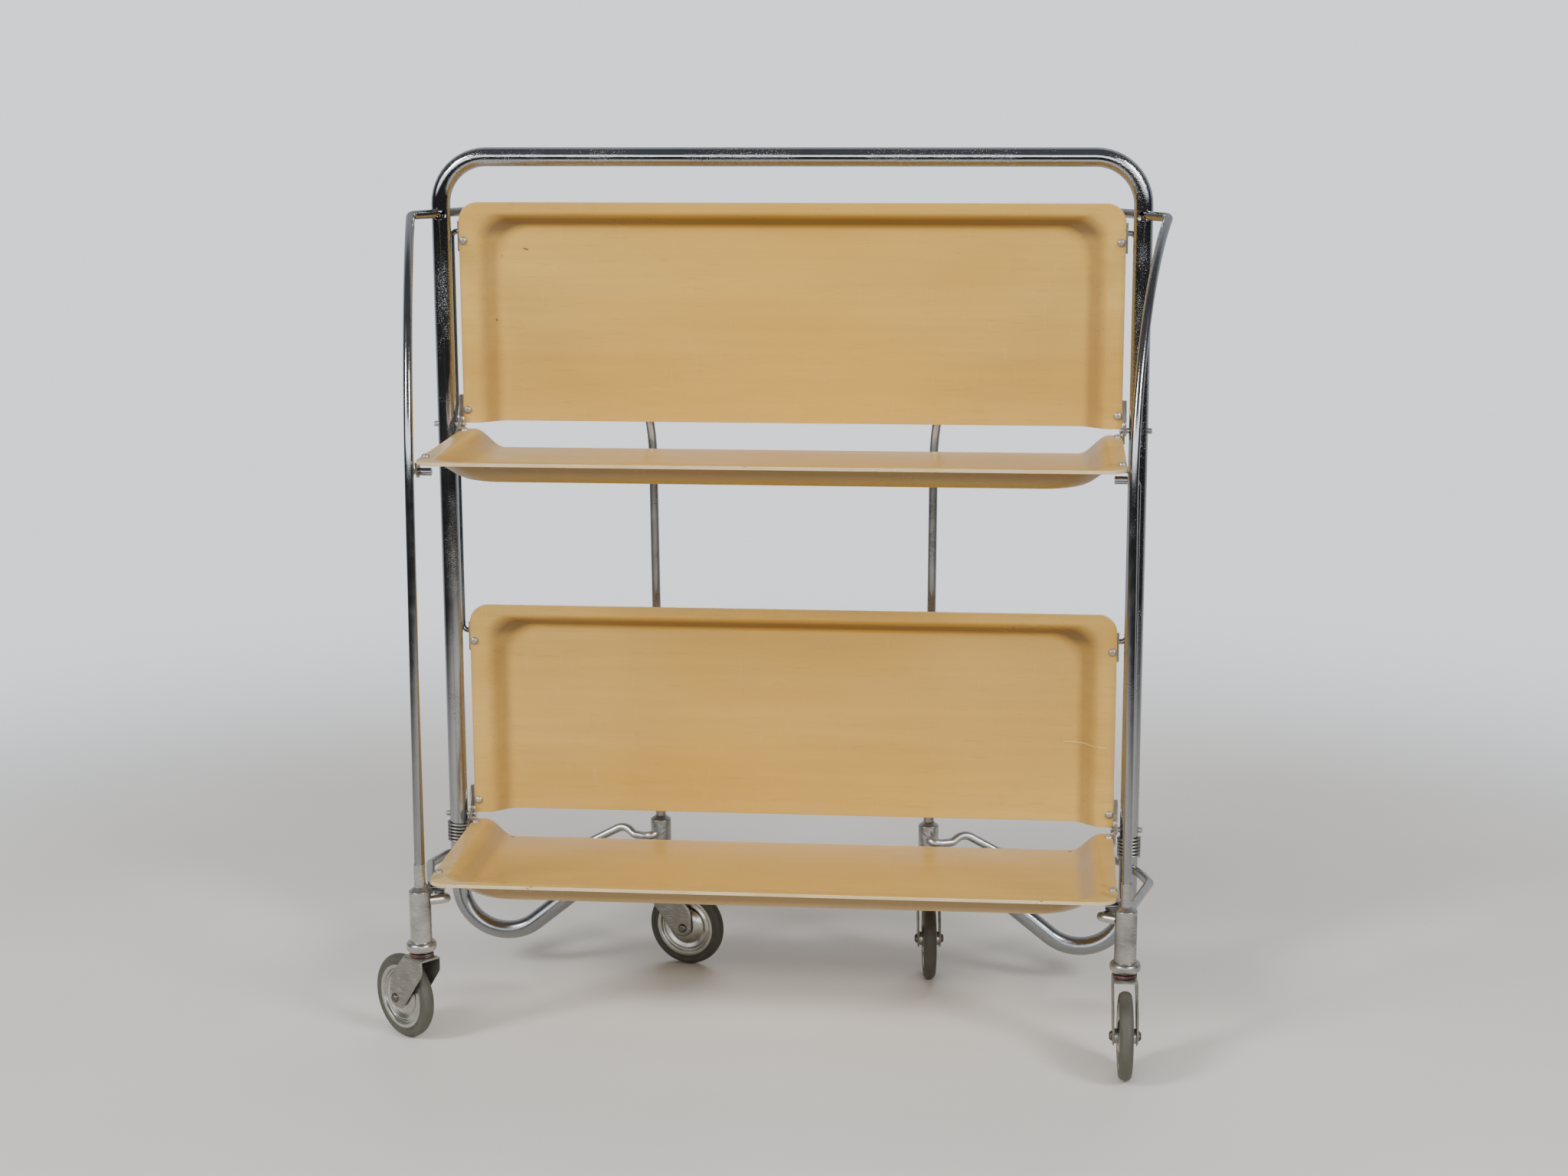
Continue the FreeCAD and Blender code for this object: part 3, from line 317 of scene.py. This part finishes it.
CHROME = chrome("chrome_tube", (174, 176, 178), 0.045, pits=0.9, haze=0.06, rough_dark_below=0.34)
ROD = chrome("chrome_rod", (160, 161, 162), 0.11, pits=0.4, haze=0.10, rough_dark_below=0.30)
OLD_ROD = chrome("worn_chrome_rod", (184, 182, 178), 0.24, pits=0.4, haze=0.12)
PLATE = steel("bright_plate", (206, 202, 194), 0.24, grain=0.15, metal=0.85)
SOCKET = steel("dull_socket", (180, 178, 172), 0.25, rust=0.04, metal=0.9)
FORK = steel("fork_steel", (142, 140, 131), 0.36, rust=0.04, metal=0.7, dirt=0.86)
AXLE = steel("axle_steel", (108, 102, 92), 0.36, rust=0.15, metal=0.8)
WASHER = steel("washer_steel", (84, 60, 52), 0.45, rust=0.4, metal=0.6)
DISC = steel("wheel_disc", (176, 174, 165), 0.22, grain=0.03, metal=0.9, dirt=0.93)
SPRING = steel("spring_wire", (178, 174, 166), 0.28, metal=0.9)
RIVET = steel("rivet_nickel", (190, 185, 176), 0.30, grain=0.05, metal=0.6)
TYRE = rubber("tyre_rubber", (70, 69, 60))
CAD_TRAY = veneer("cad_tray_veneer", (0, 0, 0))  # on the nodes that the ply trays replace

# the first word that is in a node's name decides
BY_KIND = [
    ("castor_wheel", DISC), ("fork", FORK), ("axle", AXLE), ("washer", WASHER),
    ("stem", SOCKET), ("socket", SOCKET), ("rivets", RIVET), ("plates", PLATE),
    ("brackets", PLATE), ("pins", RIVET), ("spring", SPRING), ("frame_tube", CHROME),
    ("rear_left_leg", OLD_ROD), ("rear_right_leg", OLD_ROD), ("leg", ROD),
    ("arm", OLD_ROD), ("link", ROD), ("tyre", TYRE), ("tray", CAD_TRAY),
]

for label, node in frame["nodes"].items():
    node.data.materials.clear()
    node.data.materials.append(next(finish for kind, finish in BY_KIND if kind in label))
    node.data.shade_smooth()
    node.data.set_sharp_from_angle(angle=math.radians(CAD_SHARP))

# ---------------------------------------------------------------- pieces


def new_piece(label, mesh):
    data = bpy.data.meshes.new(label)
    mesh.to_mesh(data)
    mesh.free()
    piece = bpy.data.objects.new(label, data)
    scene.collection.objects.link(piece)
    return piece


def stand_for(piece, node):
    """Show the piece in place of a CAD node, and move it with the node's body."""
    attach(piece, body_of[node])
    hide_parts(node)


# ---------------------------------------------------------------- trays

TRAY_SHIFTS = {  # where in the wood's pattern each tray lies
    ("front", "upper"): (0.3, 0.1, 0), ("front", "lower"): (1.7, 0.6, 0),
    ("rear", "upper"): (2.9, 1.2, 0), ("rear", "lower"): (4.1, 1.9, 0),
}
# painted shade: the front trays and every underside take darker copies of the same veneer
TRAY_PAINTED_SHADE_TONE = {"front": 0.94, "rear": 1.0}
OUTER_SHADE = {"front": END_SHADE, "rear": 0.8}  # painted shade of the outer wall
UNDERSIDE_PAINTED_SHADE_TONE = 0.79
MARKS = {
    ("rear", "upper"): (
        (-0.2401, 0.1572, 0.0022, 0.0006, 20, DARK_DENT),
        (-0.2678, 0.0933, 0.0008, 0.0008, 0, DARK_DENT),
        (-0.2621, 0.1510, 0.0007, 0.0007, 0, BROWN_DENT),
    ),
    ("rear", "lower"): (
        (0.2630, 0.0770, 0.0110, 0.0004, -1, BARE_SCRATCH),
        (0.2820, 0.0762, 0.0090, 0.0003, 2, BARE_SCRATCH),
    ),
    ("front", "lower"): (
        (0.2610, 0.0040, 0.0022, 0.0014, 10, DARK_DENT),
        (-0.2590, 0.0042, 0.0018, 0.0016, -15, DARK_DENT),
    ),
}


def outline(half, outer, radius):
    """Three sides with two rounded corners: out from the hinge, along the outer edge, back."""
    side = [TRAY_BACK + (outer - radius - TRAY_BACK) * k / INNER_STEPS
            for k in range(INNER_STEPS)]
    points = [(-half, y) for y in side]
    for centre_x, first in ((-half + radius, math.pi), (half - radius, math.pi / 2)):
        for k in range(CORNER_STEPS + 1):
            turn = first - math.pi / 2 * k / CORNER_STEPS
            points.append((centre_x + radius * math.cos(turn),
                           outer - radius + radius * math.sin(turn)))
        if centre_x < 0:
            run = half - radius
            points += [(-run + 2 * run * k / OUTER_STEPS, outer)
                       for k in range(1, OUTER_STEPS)]
    return points + [(half, y) for y in reversed(side)]


def tray_rings():
    """Rings of points in a tray's own frame, from the rim over the lip down to the floor."""
    rings = [[(x, y, -RIM_DROP) for x, y in outline(TRAY_HALF, TRAY_REACH, CORNER)]]
    for step in range(WALL_STEPS + 1):
        share = step / WALL_STEPS
        z = -RIM_DROP - (1 - math.cos(math.pi * share)) / 2 * RECESS
        points = outline(TRAY_HALF - END_LIP - share * END_RUN,
                         TRAY_REACH - LIP - share * OUTER_RUN,
                         CORNER + share * (FLOOR_CORNER - CORNER))
        rings.append([(x, y, z) for x, y in points])
    return rings


def tray_piece(side, level, shift):
    """A moulded tray. Its own frame: x along it, y out from the hinge, z up when it is down."""
    mesh = bmesh.new()
    made = [[mesh.verts.new(point) for point in ring] for ring in tray_rings()]
    for outer, inner in zip(made, made[1:]):
        for k in range(len(outer) - 1):
            mesh.faces.new((outer[k], outer[k + 1], inner[k + 1], inner[k]))
    mesh.faces.new(made[-1])
    mesh.normal_update()
    for face in mesh.faces:
        face.smooth = True
        if face.normal.z < 0:
            face.normal_flip()

    label = f"{side}_{level}_ply_tray"
    piece = new_piece(label, mesh)
    marks = MARKS.get((side, level), ())
    # the top veneer, darkened as painted shade on the front trays; the underside is a darker copy, painted shade
    for material in (veneer(f"{label}_veneer", shift, marks, TRAY_PAINTED_SHADE_TONE[side], OUTER_SHADE[side]),
                     ply_edge(f"{label}_edge", shift),
                     veneer(f"{label}_underside_painted_shade", shift, tone=UNDERSIDE_PAINTED_SHADE_TONE)):
        piece.data.materials.append(material)
    shell = piece.modifiers.new("ply", "SOLIDIFY")
    shell.thickness, shell.offset, shell.use_even_offset = PLY, -1.0, True
    shell.material_offset_rim, shell.material_offset = 1, 2
    edge = piece.modifiers.new("edge", "BEVEL")
    edge.width, edge.segments, edge.limit_method = PLY_ROUNDING, 2, "ANGLE"
    edge.angle_limit, edge.harden_normals = math.radians(PLY_SHARP), True

    if side == "front":  # down, and turned to the front
        turn = Matrix.Rotation(math.pi, 4, "Z")
    else:  # folded up
        turn = Matrix.Rotation(math.pi / 2, 4, "X")
    hinge = place_of[f"{side}_{level}_hinge"]
    piece.matrix_world = Matrix.Translation(hinge) @ turn
    stand_for(piece, f"{side}_{level}_tray")


for (side, level), shift in TRAY_SHIFTS.items():
    tray_piece(side, level, shift)

# ---------------------------------------------------------------- tyres


def tyre_piece(castor, joint):
    """A tyre with a bead against the disc, revolved about its wheel's own axle."""
    section = list(TYRE_HALF) + [(radius, -width) for radius, width in TYRE_HALF[-2::-1]]
    mesh = bmesh.new()
    rings = []
    for k in range(TYRE_STEPS):
        angle = 2 * math.pi * k / TYRE_STEPS
        rings.append([mesh.verts.new((radius * math.cos(angle), width, radius * math.sin(angle)))
                      for radius, width in section])
    for ring, following in zip(rings, rings[1:] + rings[:1]):
        for k in range(len(section)):
            after = (k + 1) % len(section)
            mesh.faces.new((ring[k], ring[after], following[after], following[k]))
    bmesh.ops.recalc_face_normals(mesh, faces=mesh.faces)

    piece = new_piece(f"{castor}_ribbed_tyre", mesh)
    piece.data.materials.append(TYRE)
    piece.data.shade_smooth()
    piece.data.set_sharp_from_angle(angle=math.radians(TYRE_SHARP))
    axle = Vector(joint["axis"]).normalized()
    ahead = axle.cross(Vector((0, 0, 1))).normalized()
    turn = Matrix((ahead, axle, ahead.cross(axle))).transposed().to_4x4()
    piece.data.transform(Matrix.Translation(joint["pos_m"]) @ turn)
    stand_for(piece, f"{castor}_castor_tyre")


for joint in frame["joints"]:
    if joint["name"].endswith("_wheel_spin"):
        tyre_piece(joint["name"].removesuffix("_wheel_spin"), joint)

# ---------------------------------------------------------------- floor

FLOOR_RADIUS, FADE_START, FADE_END = 2, 0.75, 1.9


def floor_material():
    """Pale and plain. It fades away into the backdrop, well outside the trolley."""
    g = Finish("pale_floor")
    cloud = g.span(g.noise(1.6, 4), 0.35, 0.7)
    away = g.add("ShaderNodeVectorMath", {0: g.place()}, operation="LENGTH").outputs["Value"]
    fade = g.span(away, FADE_START, FADE_END, 1.0, 0.0, interpolation_type="SMOOTHSTEP")
    return g.apply(Base_Color=g.mix(cloud, rgb(FLOOR_DARK), rgb(FLOOR_LIGHT)),
                   Roughness=0.75, Alpha=fade)


bpy.ops.mesh.primitive_circle_add(vertices=96, radius=FLOOR_RADIUS, fill_type="NGON")
floor = bpy.context.object
floor.name = "floor"
floor.data.materials.append(floor_material())

# ---------------------------------------------------------------- lights

# name, place, height that it aims at, size, watts, whether polished metal shows it
PANELS = [
    ("left_panel", (-2.4, -2.3, 2.5), 0.4, (0.9, 1.2), 92, True),
    ("right_panel", (2.5, -2.1, 2.5), 0.4, (0.9, 1.2), 80, True),
    ("front_panel", (0.1, -2.7, 1.88), 0.6, (4.0, 0.42), 46, False),
    ("top_panel", (0.1, -0.6, 3.0), 0.3, (2.4, 1.8), 7, False),
    ("back_panel", (0.1, 2.7, 1.9), 0.4, (2.6, 1.2), 46, False),
]
for name, place, aim, size, watts, in_metal in PANELS:
    light = bpy.data.lights.new(name, "AREA")
    light.shape, light.size, light.size_y = "RECTANGLE", *size
    light.energy = watts
    lamp = bpy.data.objects.new(name, light)
    scene.collection.objects.link(lamp)
    lamp.location = place
    towards = Vector((0, 0, aim)) - Vector(place)
    lamp.rotation_euler = towards.to_track_quat("-Z", "Y").to_euler()
    lamp.visible_glossy = in_metal

# the room's strength: as polished metal sees it, as dull surfaces do, and as the camera does
ROOM_DARK, ROOM_CEILING, ROOM_WALL, WINDOW = 0.02, 0.11, 0.65, 3.6
ROOM_SOFT, ROOM_BELOW = 0.14, 0.014
ROOM_SEEN = 1.35
ROOM_TINT = (0.90, 0.95, 1.02, 1.0)


def studio_world():
    """Soft light all round.

    Polished metal sees a dark room with a bright band of windows in front, and a pale wall
    behind.
    """
    world = bpy.data.worlds.new("studio")
    scene.world = world
    world.use_nodes = True
    g = Tree(world.node_tree)

    def ramp(source, low, high, to_low, to_high):
        return g.span(source, low, high, to_low, to_high, interpolation_type="SMOOTHSTEP")

    ray = g.add("ShaderNodeLightPath").outputs
    towards = g.parts(g.add("ShaderNodeTexCoord").outputs["Generated"])
    ceiling = ramp(towards["Z"], 0.1, 0.5, ROOM_DARK, ROOM_CEILING)
    wall = ramp(towards["Y"], 0.05, 0.6, 0.0, ROOM_WALL)
    window = g.times(ramp(towards["Z"], 0.04, 0.16, 0.0, WINDOW),
                     ramp(towards["Z"], 0.32, 0.44, 1.0, 0.0))
    in_front = ramp(towards["Y"], -0.6, -0.3, 1.0, 0.0)
    in_metal = g.maths("MULTIPLY_ADD", window, in_front, g.maths("MAXIMUM", ceiling, wall))
    soft = ramp(towards["Z"], -0.3, 0.3, ROOM_BELOW, ROOM_SOFT)

    strength = g.add("ShaderNodeMix", {"Factor": ray["Is Glossy Ray"], "A": soft,
                                       "B": in_metal}).outputs["Result"]
    strength = g.add("ShaderNodeMix", {"Factor": ray["Is Camera Ray"], "A": strength,
                                       "B": ROOM_SEEN}).outputs["Result"]
    background = g.tree.nodes["Background"]
    g.join(strength, background.inputs["Strength"])
    g.join(ROOM_TINT, background.inputs["Color"])


studio_world()

# ---------------------------------------------------------------- camera

LENS, SENSOR = 60.864, 36.0  # in millimetres, from the photograph's perspective
CAMERA_X, CAMERA_Y, CAMERA_HEIGHT = 0.2287, -2.3552, 0.8661  # from the hoop's middle
CAMERA_LEFT, CAMERA_DOWN, CAMERA_ROLL = 5.66, 11.754, -0.2223  # turns in degrees

camera_data = bpy.data.cameras.new("camera")
camera_data.lens, camera_data.sensor_width = LENS, SENSOR
camera_data.clip_start, camera_data.clip_end = 0.05, 60
camera = bpy.data.objects.new("camera", camera_data)
scene.collection.objects.link(camera)
hoop_x, hoop_y, _ = place_of["front_upper_hinge"]
camera.matrix_world = (
    Matrix.Translation((hoop_x + CAMERA_X, hoop_y + CAMERA_Y, CAMERA_HEIGHT))
    @ Matrix.Rotation(math.radians(CAMERA_LEFT), 4, "Z")
    @ Matrix.Rotation(math.radians(90 - CAMERA_DOWN), 4, "X")
    @ Matrix.Rotation(math.radians(CAMERA_ROLL), 4, "Z")
)
scene.camera = camera

bpy.context.view_layer.update()
